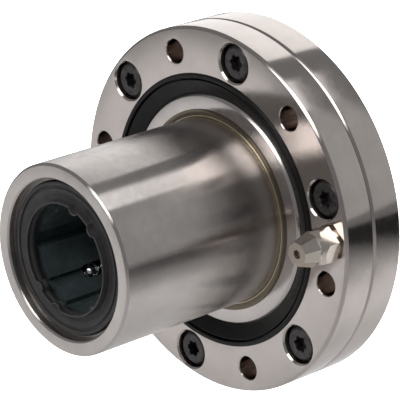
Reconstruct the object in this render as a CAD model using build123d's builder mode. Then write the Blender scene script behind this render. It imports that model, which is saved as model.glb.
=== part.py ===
from build123d import *
from math import cos, pi, radians, sin, sqrt
import os

os.makedirs("parts", exist_ok=True)

# Torque-resistant linear bushing with a crossed roller bearing flange, in millimetres.
# The axis of rotation is the Y axis. The origin is the centre of the rear mounting face,
# and the nose points to -Y. Angles are counted from +X towards +Z, seen from the nose.

# Shaft and ball rows
shaft_d = 20.0
ball_d = 3.175
ball_bite = 0.2875
ball_gap = 0.06
pair_angle = 60.5
pair_spread = 15.0
return_spread = 38.0
slot_spread = 60.5
circuit_length = 26.0

# Ball retainer and its load plates
bore_clearance = 0.4
retainer_wall = 3.55
retainer_fit = 0.05
groove_floor = 0.25
inlet_width = 2.0
inlet_depth = 0.9
slot_width = 2.9
slot_depth = 2.2
plate_width = 4.4
plate_seat = 0.9

# Sleeve
sleeve_wall = 3.5
nose_reach = 36.0
nose_chamfer = 0.4
seat_drop = 0.25
shoulder_depth = 0.55
recess_step = 0.7
recess_depth = 4.0
recess_chamfer = 0.3
rear_inset = 0.3

# Crossed roller bearing
roller_d = 4.0
roller_end_gap = 0.1
roller_count = 20
raceway_gap = 0.04
raceway_offset = 4.8
ring_gap = 0.4
inner_ring_inset = 0.7
inner_ring_chamfer = 0.5
bond_gap = 0.02
bead_width = 1.7
bead_gap = 0.05
cage_thickness = 0.4
cage_width = 8.0
pocket_gap = 0.15

# Bearing seals
seal_width = 3.9
seal_seat_depth = 2.6
seal_proud = 0.3
rear_seal_inset = 0.1
seal_lip_gap = 0.15
seal_rim_width = 0.85
seal_groove_width = 0.4
seal_groove_depth = 0.9
seal_ridge_width = 0.15
seal_lip_depth = 1.5
seal_lip_thickness = 0.8

# Flange: the split outer ring of the bearing
ring_width = 7.0
rim_chamfer = 0.5
split_chamfer = 0.4
bolt_inner_margin = 4.2
bolt_outer_margin = 4.5
fastener_count = 6
mount_hole_d = 4.5
mount_hole_chamfer = 0.3
mount_hole_angle = -11.0
screw_angle = 19.1

# Torx screws that hold the two outer rings together
screw_d = 4.0
screw_head_d = 7.0
screw_head_height = 4.0
screw_head_chamfer = 0.4
screw_length = 8.0
screw_recess = 0.6
socket_tip_d = 3.3
socket_waist_d = 2.35
socket_depth = 1.8
thread_gap = 0.05
counterbore_gap = 0.1
counterbore_chamfer = 0.3

# Wiper seals at both ends of the sleeve
wiper_front_depth = 0.6
wiper_rim_depth = 1.3
wiper_rim_gap = 0.8
wiper_rim_width = 0.7
wiper_base_thickness = 1.4
wiper_fit = 0.05
wiper_groove_width = 0.5
wiper_groove_depth = 0.4
wiper_face_depth = 1.35
wiper_face_slope = 0.3
lip_gap = 0.1
lip_thickness = 0.4
lip_height = 1.7
lip_flare = 1.4
tongue_width = 2.4
tongue_reach = 0.85
tongue_blend = 0.5

# Snap rings that hold the wiper seals
snap_ring_width = 0.95
snap_ring_bite = 0.4
snap_ring_thickness = 0.7
snap_ring_gap = 0.05
snap_ring_arc = 335.0

# Grease nipple in the front ring, midway between a screw and a mounting hole
nipple_thread_d = 5.0
nipple_thread_length = 5.2
nipple_hole_depth = 5.6
nipple_collar_d = 5.6
nipple_collar_height = 0.6
nipple_hex = 6.2
nipple_hex_height = 3.6
nipple_hex_top_d = 5.4
nipple_hex_cone = 1.3
nipple_hex_turn = 20.0
nipple_neck_d = 4.8
nipple_neck_height = 0.3
nipple_head_height = 3.3
nipple_head_base_d = 6.3
nipple_head_tip_d = 4.4
nipple_head_rim = 0.25
nipple_head_turn = 17.0
nipple_mouth_d = 1.6
nipple_mouth_depth = 0.7
nipple_chamber_d = 2.6
nipple_chamber_depth = 2.2
nipple_duct_d = 1.2
check_ball_d = 2.4
check_ball_gap = 0.02
spring_wire_d = 0.26
spring_turns = 3.0
spring_gap = 0.05
grease_port_d = 1.2
grease_port_depth = 5.3

# Places worked out from the sizes above, from the shaft outwards
ball_path_r = shaft_d / 2 - ball_bite + ball_d / 2
channel_r = ball_d / 2 + ball_gap
retainer_bore_r = shaft_d / 2 + bore_clearance
retainer_r = retainer_bore_r + retainer_wall
groove_floor_r = retainer_bore_r + groove_floor
plate_inner_r = ball_path_r + plate_seat
sleeve_bore_r = retainer_r + retainer_fit
recess_r = sleeve_bore_r + recess_step
sleeve_r = sleeve_bore_r + sleeve_wall
seat_r = sleeve_r - seat_drop
roller_pitch_r = sleeve_r + raceway_offset
inner_ring_r = roller_pitch_r - ring_gap
outer_bore_r = roller_pitch_r + ring_gap
raceway_reach = (roller_d / 2 + raceway_gap) * sqrt(2)
seal_seat_r = inner_ring_r + seal_width
bolt_circle_r = seal_seat_r + bolt_inner_margin
flange_r = bolt_circle_r + bolt_outer_margin
counterbore_r = screw_head_d / 2 + counterbore_gap
screw_hole_r = screw_d / 2 + thread_gap
lip_r = shaft_d / 2 + lip_gap
tongue_r = tongue_width / 2

# Places along the axis
front_face_y = -2 * ring_width
split_y = -ring_width
shoulder_y = front_face_y + shoulder_depth
nose_y = front_face_y - nose_reach
sleeve_rear_y = -rear_inset
sleeve_mid_y = (nose_y + sleeve_rear_y) / 2
sleeve_length = sleeve_rear_y - nose_y
retainer_length = sleeve_length - 2 * recess_depth
turn_y = circuit_length / 2 - channel_r
plate_half_length = turn_y - channel_r - ball_gap

# Angles round the axis
load_angles = [pair_angle + half_turn + side * pair_spread for half_turn in (0, 180) for side in (-1, 1)]
return_angles = [pair_angle + half_turn + side * return_spread for half_turn in (0, 180) for side in (-1, 1)]
slot_angles = [pair_angle + half_turn + side * slot_spread for half_turn in (0, 180) for side in (-1, 1)]
nipple_angle = (screw_angle + mount_hole_angle) / 2
nipple_x = bolt_circle_r * cos(radians(nipple_angle))
nipple_z = bolt_circle_r * sin(radians(nipple_angle))


def across(y):
    """Plane square to the axis at y, facing the nose."""
    return Plane.XZ.offset(-y)


def through_axis(angle):
    """Plane that holds the axis, with its x direction pointing out at the angle."""
    return Plane(
        origin=(0, 0, 0),
        x_dir=(cos(radians(angle)), 0, sin(radians(angle))),
        z_dir=(-sin(radians(angle)), 0, cos(radians(angle))),
    )


def outer_ring_corners(face_y, inward, seat_depth):
    """Corners of one outer ring's section: seal seat, bore and half of the V raceway."""
    split_at = face_y + inward * ring_width
    apex_r = roller_pitch_r + raceway_reach
    seat_at = face_y + inward * seat_depth
    return [
        (seal_seat_r, face_y),
        (flange_r, face_y),
        (flange_r, split_at),
        (apex_r, split_at),
        (outer_bore_r, split_at - inward * (apex_r - outer_bore_r)),
        (outer_bore_r, seat_at),
        (seal_seat_r, seat_at),
    ]


def circles_at(part, y, radius):
    """Round edges of the part that lie at y and have the radius."""
    edges = part.edges().filter_by(GeomType.CIRCLE)
    edges = edges.filter_by(lambda edge: abs(edge.center().Y - y) < 0.01)
    return edges.filter_by(lambda edge: abs(edge.radius - radius) < 0.01)


# Front outer ring: counterbored for the screws, drilled for the mounting bolts and the nipple
with BuildPart() as front_outer_ring:
    with BuildSketch():
        Polygon(*outer_ring_corners(front_face_y, 1, seal_seat_depth), align=None)
    revolve(axis=Axis.Y)
    chamfer(circles_at(front_outer_ring, front_face_y, flange_r), rim_chamfer)
    chamfer(circles_at(front_outer_ring, split_y, flange_r), split_chamfer)
    with BuildSketch(across(front_face_y)):
        with PolarLocations(bolt_circle_r, fastener_count, start_angle=mount_hole_angle):
            Circle(mount_hole_d / 2)
        with PolarLocations(bolt_circle_r, fastener_count, start_angle=screw_angle):
            Circle(screw_hole_r)
    extrude(amount=-ring_width, mode=Mode.SUBTRACT)
    with BuildSketch(across(front_face_y)):
        with PolarLocations(bolt_circle_r, fastener_count, start_angle=screw_angle):
            Circle(counterbore_r)
    extrude(amount=-(screw_head_height + screw_recess), mode=Mode.SUBTRACT)
    chamfer(circles_at(front_outer_ring, front_face_y, mount_hole_d / 2), mount_hole_chamfer)
    chamfer(circles_at(front_outer_ring, front_face_y, counterbore_r), counterbore_chamfer)
    with BuildSketch(across(front_face_y)):
        with Locations((nipple_x, nipple_z)):
            Circle(nipple_thread_d / 2)
    extrude(amount=-nipple_hole_depth, mode=Mode.SUBTRACT)
    with BuildSketch(
        Plane(
            origin=(nipple_x, front_face_y + grease_port_depth, nipple_z),
            z_dir=(-cos(radians(nipple_angle)), 0, -sin(radians(nipple_angle))),
        )
    ):
        Circle(grease_port_d / 2)
    extrude(amount=bolt_circle_r - outer_bore_r, mode=Mode.SUBTRACT)

# Rear outer ring: tapped for the screws, drilled for the mounting bolts
with BuildPart() as rear_outer_ring:
    with BuildSketch():
        Polygon(*outer_ring_corners(0, -1, seal_seat_depth + seal_proud + rear_seal_inset), align=None)
    revolve(axis=Axis.Y)
    chamfer(circles_at(rear_outer_ring, 0, flange_r), rim_chamfer)
    chamfer(circles_at(rear_outer_ring, split_y, flange_r), split_chamfer)
    with BuildSketch(across(0)):
        with PolarLocations(bolt_circle_r, fastener_count, start_angle=mount_hole_angle):
            Circle(mount_hole_d / 2)
        with PolarLocations(bolt_circle_r, fastener_count, start_angle=screw_angle):
            Circle(screw_d / 2)
    extrude(amount=ring_width, mode=Mode.SUBTRACT)
    chamfer(circles_at(rear_outer_ring, 0, mount_hole_d / 2), mount_hole_chamfer)

# Torx cap screws, heads sunk below the front face
head_top_y = front_face_y + screw_recess
head_under_y = head_top_y + screw_head_height
with BuildPart() as torx_screws:
    with BuildSketch(across(head_top_y)):
        with PolarLocations(bolt_circle_r, fastener_count, start_angle=screw_angle):
            Circle(screw_head_d / 2)
    extrude(amount=-screw_head_height)
    chamfer(circles_at(torx_screws, head_top_y, screw_head_d / 2), screw_head_chamfer)
    with BuildSketch(across(head_under_y)):
        with PolarLocations(bolt_circle_r, fastener_count, start_angle=screw_angle):
            Circle(screw_d / 2 - thread_gap)
    extrude(amount=-screw_length)
    star = [
        (reach * cos(pi * corner / 6), reach * sin(pi * corner / 6))
        for corner, reach in enumerate([socket_tip_d / 2, socket_waist_d / 2] * 6)
    ]
    with BuildSketch(across(head_top_y)):
        with PolarLocations(bolt_circle_r, fastener_count, start_angle=screw_angle):
            Polygon(*star, align=None)
    extrude(amount=-socket_depth, mode=Mode.SUBTRACT)

# Rubber seal in the front ring, with its lip close to the inner ring
seal_top_y = front_face_y - seal_proud
seal_bottom_y = front_face_y + seal_seat_depth
rim_inner_r = seal_seat_r - seal_rim_width
ridge_outer_r = rim_inner_r - seal_groove_width
ridge_inner_r = ridge_outer_r - seal_ridge_width
groove_taper = seal_groove_width / 4
with BuildPart() as front_bearing_seal:
    with BuildSketch():
        with BuildLine():
            Polyline(
                (seal_seat_r, seal_bottom_y),
                (seal_seat_r, seal_top_y),
                (rim_inner_r, seal_top_y),
                (rim_inner_r - groove_taper, seal_top_y + seal_groove_depth),
                (ridge_outer_r + groove_taper, seal_top_y + seal_groove_depth),
                (ridge_outer_r, seal_top_y + seal_proud),
                (ridge_inner_r, seal_top_y + seal_proud),
                (inner_ring_r + seal_lip_gap, seal_top_y + seal_lip_depth),
                (inner_ring_r + seal_lip_gap, seal_top_y + seal_lip_depth + seal_lip_thickness),
                (ridge_inner_r, seal_bottom_y),
                close=True,
            )
        make_face()
    revolve(axis=Axis.Y)
    chamfer(circles_at(front_bearing_seal, seal_top_y, seal_seat_r), seal_proud / 2)

# The rear seal is the same part turned round, and sunk below the mounting face
with BuildPart() as rear_bearing_seal:
    mirror(front_bearing_seal.part, about=across((seal_top_y - rear_seal_inset) / 2))

# Bearing inner ring with the inner V raceway
inner_front_y = front_face_y + inner_ring_inset
inner_rear_y = -inner_ring_inset
inner_apex_r = roller_pitch_r - raceway_reach
inner_race_half = inner_ring_r - inner_apex_r
with BuildPart() as bearing_inner_ring:
    with BuildSketch():
        with BuildLine():
            Polyline(
                (seat_r + bond_gap, inner_front_y),
                (inner_ring_r, inner_front_y),
                (inner_ring_r, split_y - inner_race_half),
                (inner_apex_r, split_y),
                (inner_ring_r, split_y + inner_race_half),
                (inner_ring_r, inner_rear_y),
                (seat_r + bond_gap, inner_rear_y),
                close=True,
            )
        make_face()
    revolve(axis=Axis.Y)
    for face_y in (inner_front_y, inner_rear_y):
        chamfer(circles_at(bearing_inner_ring, face_y, inner_ring_r), inner_ring_chamfer)
        chamfer(circles_at(bearing_inner_ring, face_y, seat_r + bond_gap), bead_width)

# Bead of retaining compound in the corner between the sleeve's shoulder and the inner ring
with BuildPart() as front_bonding_bead:
    with BuildSketch():
        with BuildLine():
            Polyline(
                (seat_r + bond_gap, shoulder_y + bead_gap),
                (seat_r + bond_gap, inner_front_y + bead_width - bond_gap),
                (seat_r + bead_width, inner_front_y),
                close=True,
            )
        make_face()
    revolve(axis=Axis.Y)

# The rear bead stays flush, inside the chamfer, so that it clears what the flange is bolted to
with BuildPart() as rear_bonding_bead:
    with BuildSketch():
        with BuildLine():
            Polyline(
                (seat_r + bond_gap, inner_rear_y),
                (seat_r + bond_gap, inner_rear_y - bead_width + bond_gap),
                (seat_r + bead_width, inner_rear_y),
                close=True,
            )
        make_face()
    revolve(axis=Axis.Y)

# Crossed rollers: neighbours lie square to each other in the V groove
roller_sets = [("rollers_facing_nose", 45, 0.0), ("rollers_facing_rear", -45, 360 / roller_count)]
for set_name, tilt, start in roller_sets:
    with BuildPart(across(split_y)) as roller_set:
        with PolarLocations(roller_pitch_r, roller_count // 2, start_angle=start):
            Cylinder(roller_d / 2, roller_d - 2 * roller_end_gap, rotation=(0, tilt, 0))
    roller_set.part.label = set_name
    export_step(roller_set.part, f"parts/{set_name}.step")

# Thin cage with a pocket for each roller
pocket_width = roller_d + 2 * pocket_gap
pocket_height = 2 * raceway_reach + 2 * pocket_gap
with BuildPart(across(split_y)) as roller_cage:
    with BuildSketch(Plane.XY):
        with Locations((roller_pitch_r, split_y)):
            Rectangle(cage_thickness, cage_width)
    revolve(axis=Axis.Y)
    with PolarLocations(roller_pitch_r, roller_count):
        Box(4 * cage_thickness, pocket_width, pocket_height, mode=Mode.SUBTRACT)

# Sleeve: one ground tube with a shoulder and a seat for the inner ring, recessed at both ends
# for the wiper seals
with BuildPart() as sleeve:
    with BuildSketch():
        with BuildLine():
            Polyline(
                (recess_r, nose_y),
                (sleeve_r, nose_y),
                (sleeve_r, shoulder_y),
                (seat_r, shoulder_y),
                (seat_r, sleeve_rear_y),
                (recess_r, sleeve_rear_y),
                (recess_r, sleeve_rear_y - recess_depth),
                (sleeve_bore_r, sleeve_rear_y - recess_depth),
                (sleeve_bore_r, nose_y + recess_depth),
                (recess_r, nose_y + recess_depth),
                close=True,
            )
        make_face()
    revolve(axis=Axis.Y)
    for end_y, outer_r in ((nose_y, sleeve_r), (sleeve_rear_y, seat_r)):
        chamfer(circles_at(sleeve, end_y, outer_r), nose_chamfer)
        chamfer(circles_at(sleeve, end_y, recess_r), recess_chamfer)
    groove_middle = recess_depth - wiper_base_thickness - snap_ring_thickness / 2
    with BuildSketch():
        with Locations(
            (recess_r, nose_y + groove_middle),
            (recess_r, sleeve_rear_y - groove_middle),
        ):
            Rectangle(
                2 * (snap_ring_bite + snap_ring_gap),
                snap_ring_thickness + 2 * snap_ring_gap,
            )
    revolve(axis=Axis.Y, mode=Mode.SUBTRACT)

# Ball retainer: a loaded row of balls breaks through the bore and is backed by a load plate.
# At both ends it turns off into a return groove beside it, which the sleeve closes. Each row's
# narrow inlet and the four deep slots run the whole length of the bore.
with BuildPart() as ball_retainer:
    with BuildSketch():
        with Locations(((retainer_bore_r + retainer_r) / 2, sleeve_mid_y)):
            Rectangle(retainer_r - retainer_bore_r, retainer_length)
    revolve(axis=Axis.Y)
    with BuildSketch(across(sleeve_mid_y)):
        for load_angle in load_angles:
            with PolarLocations(retainer_bore_r, 1, start_angle=load_angle):
                Rectangle(2 * inlet_depth, inlet_width)
        for slot_angle in slot_angles:
            with PolarLocations(retainer_bore_r, 1, start_angle=slot_angle):
                Rectangle(2 * slot_depth, slot_width)
    extrude(amount=retainer_length / 2, both=True, mode=Mode.SUBTRACT)
    with BuildSketch(across(sleeve_mid_y)):
        for load_angle in load_angles:
            with PolarLocations(ball_path_r, 1, start_angle=load_angle):
                Circle(channel_r)
            with PolarLocations(sleeve_bore_r, 1, start_angle=load_angle):
                Rectangle(2 * (sleeve_bore_r - ball_path_r), 2 * channel_r)
        for return_angle in return_angles:
            with PolarLocations(sleeve_bore_r, 1, start_angle=return_angle):
                Rectangle(2 * (sleeve_bore_r - groove_floor_r), 2 * channel_r)
    extrude(amount=circuit_length / 2, both=True, mode=Mode.SUBTRACT)
    with BuildSketch(across(sleeve_mid_y)):
        for load_angle in load_angles:
            with PolarLocations(sleeve_bore_r, 1, start_angle=load_angle):
                Rectangle(2 * (sleeve_bore_r - plate_inner_r), plate_width + 2 * ball_gap)
    extrude(amount=plate_half_length + ball_gap, both=True, mode=Mode.SUBTRACT)
    for load_angle, return_angle in zip(load_angles, return_angles):
        for end in (-1, 1):
            with BuildSketch(through_axis(load_angle)):
                with Locations(((groove_floor_r + sleeve_bore_r) / 2, sleeve_mid_y + end * turn_y)):
                    Rectangle(sleeve_bore_r - groove_floor_r, 2 * channel_r)
            revolve(axis=Axis.Y, revolution_arc=load_angle - return_angle, mode=Mode.SUBTRACT)

# Hardened load plates behind the loaded rows, each with its own hollow raceway
for number, load_angle in enumerate(load_angles, start=1):
    with BuildPart() as load_plate:
        with BuildSketch(across(sleeve_mid_y)):
            Circle(retainer_r)
            with PolarLocations(plate_inner_r + ball_gap, 1, start_angle=load_angle):
                Rectangle(retainer_r, plate_width, align=(Align.MIN, Align.CENTER), mode=Mode.INTERSECT)
            with PolarLocations(ball_path_r, 1, start_angle=load_angle):
                Circle(channel_r, mode=Mode.SUBTRACT)
        extrude(amount=plate_half_length, both=True)
    load_plate.part.label = f"load_plate_{number}"
    export_step(load_plate.part, f"parts/load_plate_{number}.step")

# Balls at the two ends of each loaded row; the rest of each circuit repeats them
for number, load_angle in enumerate(load_angles, start=1):
    with BuildPart(across(sleeve_mid_y)) as ball_circuit:
        with PolarLocations(ball_path_r, 1, start_angle=load_angle):
            with Locations((0, 0, -turn_y), (0, 0, turn_y)):
                Sphere(ball_d / 2)
    ball_circuit.part.label = f"ball_circuit_{number}"
    export_step(ball_circuit.part, f"parts/ball_circuit_{number}.step")


def lip_outline(grow):
    """Opening of a wiper seal's lip, with a tongue for each shaft groove, grown outwards."""
    with BuildSketch() as outline:
        Circle(lip_r + grow)
        for load_angle in load_angles:
            with PolarLocations(lip_r - tongue_reach + tongue_r, 1, start_angle=load_angle):
                Circle(tongue_r - grow, mode=Mode.SUBTRACT)
        fillet(outline.vertices(), tongue_blend + grow)
    return outline.sketch


# Wiper seal: base ring, raised rim, sloping face and the lip
wiper_top_y = nose_y + wiper_front_depth
wiper_back_y = nose_y + recess_depth
wiper_base_y = wiper_back_y - wiper_base_thickness
wiper_rim_y = nose_y + wiper_rim_depth
wiper_face_y = nose_y + wiper_face_depth
lip_back_y = wiper_top_y + lip_height
wiper_outer_r = recess_r - wiper_fit
rim_r = recess_r - wiper_rim_gap
rim_bore_r = rim_r - wiper_rim_width
face_outer_r = rim_bore_r - wiper_groove_width
wiper_back_r = lip_r + lip_flare
lip_outer_r = lip_r + lip_thickness
with BuildPart() as nose_wiper_seal:
    with BuildSketch():
        with BuildLine():
            Polyline(
                (wiper_back_r, wiper_back_y),
                (wiper_outer_r, wiper_back_y),
                (wiper_outer_r, wiper_base_y),
                (rim_r, wiper_base_y),
                (rim_r, wiper_rim_y),
                (rim_bore_r, wiper_rim_y),
                (rim_bore_r, wiper_rim_y + wiper_groove_depth),
                (face_outer_r, wiper_rim_y + wiper_groove_depth),
                (face_outer_r, wiper_face_y),
                (lip_outer_r, wiper_face_y + wiper_face_slope),
                (0, wiper_face_y + wiper_face_slope),
                (0, lip_back_y),
                (lip_outer_r, lip_back_y),
                (wiper_back_r, wiper_base_y),
                close=True,
            )
        make_face()
    revolve(axis=Axis.Y)
    with BuildSketch(across(wiper_top_y)):
        add(lip_outline(lip_thickness))
    extrude(amount=wiper_top_y - lip_back_y)
    with BuildSketch(across(wiper_top_y)):
        add(lip_outline(0))
    extrude(amount=wiper_top_y - lip_back_y, mode=Mode.SUBTRACT)

# The rear wiper seal faces the other way, with its tongues in the same grooves
with BuildPart() as rear_wiper_seal:
    mirror(nose_wiper_seal.part, about=across(sleeve_mid_y))

# Snap rings that hold the wiper seals in the sleeve
snap_ring_r = recess_r + snap_ring_bite
for ring_name, face_y, inward in (("nose_snap_ring", nose_y, 1), ("rear_snap_ring", sleeve_rear_y, -1)):
    ring_middle = face_y + inward * (recess_depth - wiper_base_thickness - snap_ring_thickness / 2)
    with BuildPart() as snap_ring:
        with BuildSketch():
            with Locations((snap_ring_r - snap_ring_width / 2, ring_middle)):
                Rectangle(snap_ring_width, snap_ring_thickness)
        revolve(axis=Axis.Y, revolution_arc=snap_ring_arc)
    snap_ring.part.label = ring_name
    export_step(snap_ring.part, f"parts/{ring_name}.step")

# Grease nipple: threaded stem, collar, hexagon with a conical top, neck and tapering head
nipple_plane = Plane(origin=(nipple_x, 0, nipple_z))
nipple_axis = Axis((nipple_x, 0, nipple_z), (0, 1, 0))
hex_base_y = front_face_y - nipple_collar_height
hex_top_y = hex_base_y - nipple_hex_height
head_base_y = hex_top_y - nipple_neck_height
tip_y = head_base_y - nipple_head_height
chamber_top_y = tip_y + nipple_mouth_depth
chamber_floor_y = front_face_y - nipple_chamber_depth
stem_end_y = front_face_y + nipple_thread_length
hex_corner_r = nipple_hex / sqrt(3)
with BuildPart() as grease_nipple:
    with BuildSketch(across(hex_base_y)):
        with Locations((nipple_x, nipple_z)):
            RegularPolygon(nipple_hex / 2, 6, major_radius=False, rotation=nipple_hex_turn)
    extrude(amount=nipple_hex_height)
    with BuildSketch(nipple_plane):
        with BuildLine():
            Polyline(
                (0, hex_base_y),
                (hex_corner_r, hex_base_y),
                (hex_corner_r, hex_top_y + nipple_hex_cone),
                (nipple_hex_top_d / 2, hex_top_y),
                (0, hex_top_y),
                close=True,
            )
        make_face()
    revolve(axis=nipple_axis, mode=Mode.INTERSECT)
    with BuildSketch(nipple_plane):
        with BuildLine():
            Polyline(
                (0, stem_end_y),
                (nipple_thread_d / 2 - thread_gap, stem_end_y),
                (nipple_thread_d / 2 - thread_gap, front_face_y),
                (nipple_collar_d / 2, front_face_y),
                (nipple_collar_d / 2, hex_base_y),
                (nipple_neck_d / 2, hex_top_y),
                (nipple_neck_d / 2, head_base_y),
                (nipple_head_base_d / 2 * cos(pi / 8), head_base_y),
                (nipple_head_base_d / 2 * cos(pi / 8), head_base_y - nipple_head_rim),
                (0, head_base_y - nipple_head_rim),
                close=True,
            )
        make_face()
    revolve(axis=nipple_axis)
    with BuildSketch(across(head_base_y - nipple_head_rim)):
        with Locations((nipple_x, nipple_z)):
            RegularPolygon(nipple_head_base_d / 2, 8, rotation=nipple_head_turn)
    with BuildSketch(across(tip_y)):
        with Locations((nipple_x, nipple_z)):
            RegularPolygon(nipple_head_tip_d / 2, 8, rotation=nipple_head_turn)
    loft()
    with BuildSketch(nipple_plane):
        with BuildLine():
            Polyline(
                (0, tip_y),
                (nipple_mouth_d / 2, tip_y),
                (nipple_mouth_d / 2, chamber_top_y),
                (nipple_chamber_d / 2, chamber_top_y),
                (nipple_chamber_d / 2, chamber_floor_y),
                (nipple_duct_d / 2, chamber_floor_y),
                (nipple_duct_d / 2, stem_end_y),
                (0, stem_end_y),
                close=True,
            )
        make_face()
    revolve(axis=nipple_axis, mode=Mode.SUBTRACT)

# Check ball behind the nipple's mouth
ball_seat_drop = sqrt(check_ball_d**2 - nipple_mouth_d**2) / 2
check_ball_y = chamber_top_y + ball_seat_drop + check_ball_gap
with BuildPart() as nipple_check_ball:
    with Locations((nipple_x, check_ball_y, nipple_z)):
        Sphere(check_ball_d / 2)

# Spring that presses the check ball against its seat
coil_r = nipple_chamber_d / 2 - spring_wire_d / 2 - 2 * spring_gap
coil_front_y = check_ball_y + sqrt((check_ball_d / 2 + spring_wire_d / 2) ** 2 - coil_r**2) + spring_gap
coil_rear_y = chamber_floor_y - spring_wire_d / 2 - spring_gap
coil_height = coil_rear_y - coil_front_y
with BuildPart() as nipple_spring:
    with BuildLine() as coil:
        Helix(
            pitch=coil_height / spring_turns,
            height=coil_height,
            radius=coil_r,
            center=(nipple_x, coil_rear_y, nipple_z),
            direction=(0, -1, 0),
        )
    with BuildSketch(Plane(coil.line ^ 0)):
        RegularPolygon(spring_wire_d / 2, 4)
    sweep(path=coil.line)

# Labels and files
front_outer_ring.part.label = "front_outer_ring"
rear_outer_ring.part.label = "rear_outer_ring"
torx_screws.part.label = "torx_screws"
front_bearing_seal.part.label = "front_bearing_seal"
rear_bearing_seal.part.label = "rear_bearing_seal"
bearing_inner_ring.part.label = "bearing_inner_ring"
front_bonding_bead.part.label = "front_bonding_bead"
rear_bonding_bead.part.label = "rear_bonding_bead"
roller_cage.part.label = "roller_cage"
sleeve.part.label = "sleeve"
ball_retainer.part.label = "ball_retainer"
nose_wiper_seal.part.label = "nose_wiper_seal"
rear_wiper_seal.part.label = "rear_wiper_seal"
grease_nipple.part.label = "grease_nipple"
nipple_check_ball.part.label = "nipple_check_ball"
nipple_spring.part.label = "nipple_spring"

export_step(front_outer_ring.part, "parts/front_outer_ring.step")
export_step(rear_outer_ring.part, "parts/rear_outer_ring.step")
export_step(torx_screws.part, "parts/torx_screws.step")
export_step(front_bearing_seal.part, "parts/front_bearing_seal.step")
export_step(rear_bearing_seal.part, "parts/rear_bearing_seal.step")
export_step(bearing_inner_ring.part, "parts/bearing_inner_ring.step")
export_step(front_bonding_bead.part, "parts/front_bonding_bead.step")
export_step(rear_bonding_bead.part, "parts/rear_bonding_bead.step")
export_step(roller_cage.part, "parts/roller_cage.step")
export_step(sleeve.part, "parts/sleeve.step")
export_step(ball_retainer.part, "parts/ball_retainer.step")
export_step(nose_wiper_seal.part, "parts/nose_wiper_seal.step")
export_step(rear_wiper_seal.part, "parts/rear_wiper_seal.step")
export_step(grease_nipple.part, "parts/grease_nipple.step")
export_step(nipple_check_ball.part, "parts/nipple_check_ball.step")
export_step(nipple_spring.part, "parts/nipple_spring.step")
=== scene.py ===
"""Torque-resistant linear bushing: fine meshes and finishes over its frame, and a stage."""

from math import cos, hypot, pi, radians, sin, sqrt

import bmesh
import bpy
from bpy.props import FloatProperty, FloatVectorProperty, IntProperty, PointerProperty
from bpy.types import Operator, Panel, PropertyGroup
from mathutils import Matrix, Vector


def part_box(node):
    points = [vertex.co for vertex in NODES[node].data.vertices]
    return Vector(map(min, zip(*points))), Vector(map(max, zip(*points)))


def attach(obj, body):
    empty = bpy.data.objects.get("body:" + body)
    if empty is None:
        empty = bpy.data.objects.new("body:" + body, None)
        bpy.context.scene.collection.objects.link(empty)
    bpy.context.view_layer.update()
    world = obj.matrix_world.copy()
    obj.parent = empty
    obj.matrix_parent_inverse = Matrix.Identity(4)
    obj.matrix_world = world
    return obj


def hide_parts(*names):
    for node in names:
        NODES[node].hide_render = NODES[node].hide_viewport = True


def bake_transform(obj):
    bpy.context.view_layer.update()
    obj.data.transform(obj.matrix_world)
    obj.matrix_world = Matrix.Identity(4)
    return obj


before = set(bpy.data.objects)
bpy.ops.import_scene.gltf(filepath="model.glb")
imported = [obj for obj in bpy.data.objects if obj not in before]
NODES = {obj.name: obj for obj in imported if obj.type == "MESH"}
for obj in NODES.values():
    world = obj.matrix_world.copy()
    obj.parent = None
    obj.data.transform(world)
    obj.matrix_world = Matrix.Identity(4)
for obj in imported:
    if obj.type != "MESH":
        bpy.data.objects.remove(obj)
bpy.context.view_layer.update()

bl_info = {
    "name": "Linear bushing",
    "version": (1, 0, 0),
    "blender": (4, 5, 0),
    "location": "View3D > Sidebar > Bushing",
    "description": "Fine meshes, finishes and a stage for a torque-resistant linear bushing",
    "category": "Object",
}

MM = 0.001
ROUND_STEPS = 3


# Reading the frame, in millimetres

def reach(node):
    """Largest distance of a node's corners from the axis of rotation."""
    return max(hypot(v.co.x, v.co.z) for v in NODES[node].data.vertices) / MM


def clear_reach(node):
    """Smallest distance of a node's corners from the axis of rotation."""
    return min(hypot(v.co.x, v.co.z) for v in NODES[node].data.vertices) / MM


def front(node):
    """The node's end towards the nose."""
    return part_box(node)[0].y / MM


def back(node):
    """The node's end towards the mounting face."""
    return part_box(node)[1].y / MM


# Places taken from the frame, in millimetres
FLANGE_R = reach("front_outer_ring")
FACE_Y = front("front_outer_ring")
SPLIT_Y = back("front_outer_ring")
SLEEVE_R = reach("sleeve")
NOSE_Y = front("sleeve")
REAR_Y = back("sleeve")
MOUNT_Y = back("rear_outer_ring")
SLEEVE_BORE_R = clear_reach("sleeve")
SEAT_R = reach("front_bearing_seal")
INNER_R = reach("bearing_inner_ring")
INNER_FRONT_Y = front("bearing_inner_ring")
INNER_REAR_Y = back("bearing_inner_ring")

# Holes in the flange, in millimetres and degrees
BOLT_CIRCLE_R = 30.0
SCREW_ANGLE = 19.1
HOLE_ANGLE = -11.0
NIPPLE_ANGLE = (SCREW_ANGLE + HOLE_ANGLE) / 2
FASTENERS = 6
HOLE_R = 2.25
FRONT_BREAK = 0.15
REAR_BREAK = 0.3
SINK_R = 3.6
SINK_DEPTH = 4.6
SINK_BREAK = 0.3
SHANK_HOLE_R = 2.05
TAPPED_R = 2.0
NIPPLE_HOLE_R = 2.5
NIPPLE_HOLE_DEPTH = 5.6
NIPPLE_BORE_R = 1.4
OVERCUT = 1.0

# Screws, in millimetres
HEAD_R = 3.5
HEAD_FLAT_R = 2.8
HEAD_HEIGHT = 4.0
HEAD_SLOPE = 0.65
THREAD_R = 1.95
THREAD_CHAMFER = 0.2
SOCKET_DEPTH = 1.8
SOCKET_CONE = 0.4
SOCKET_BREAK = 0.1

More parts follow.
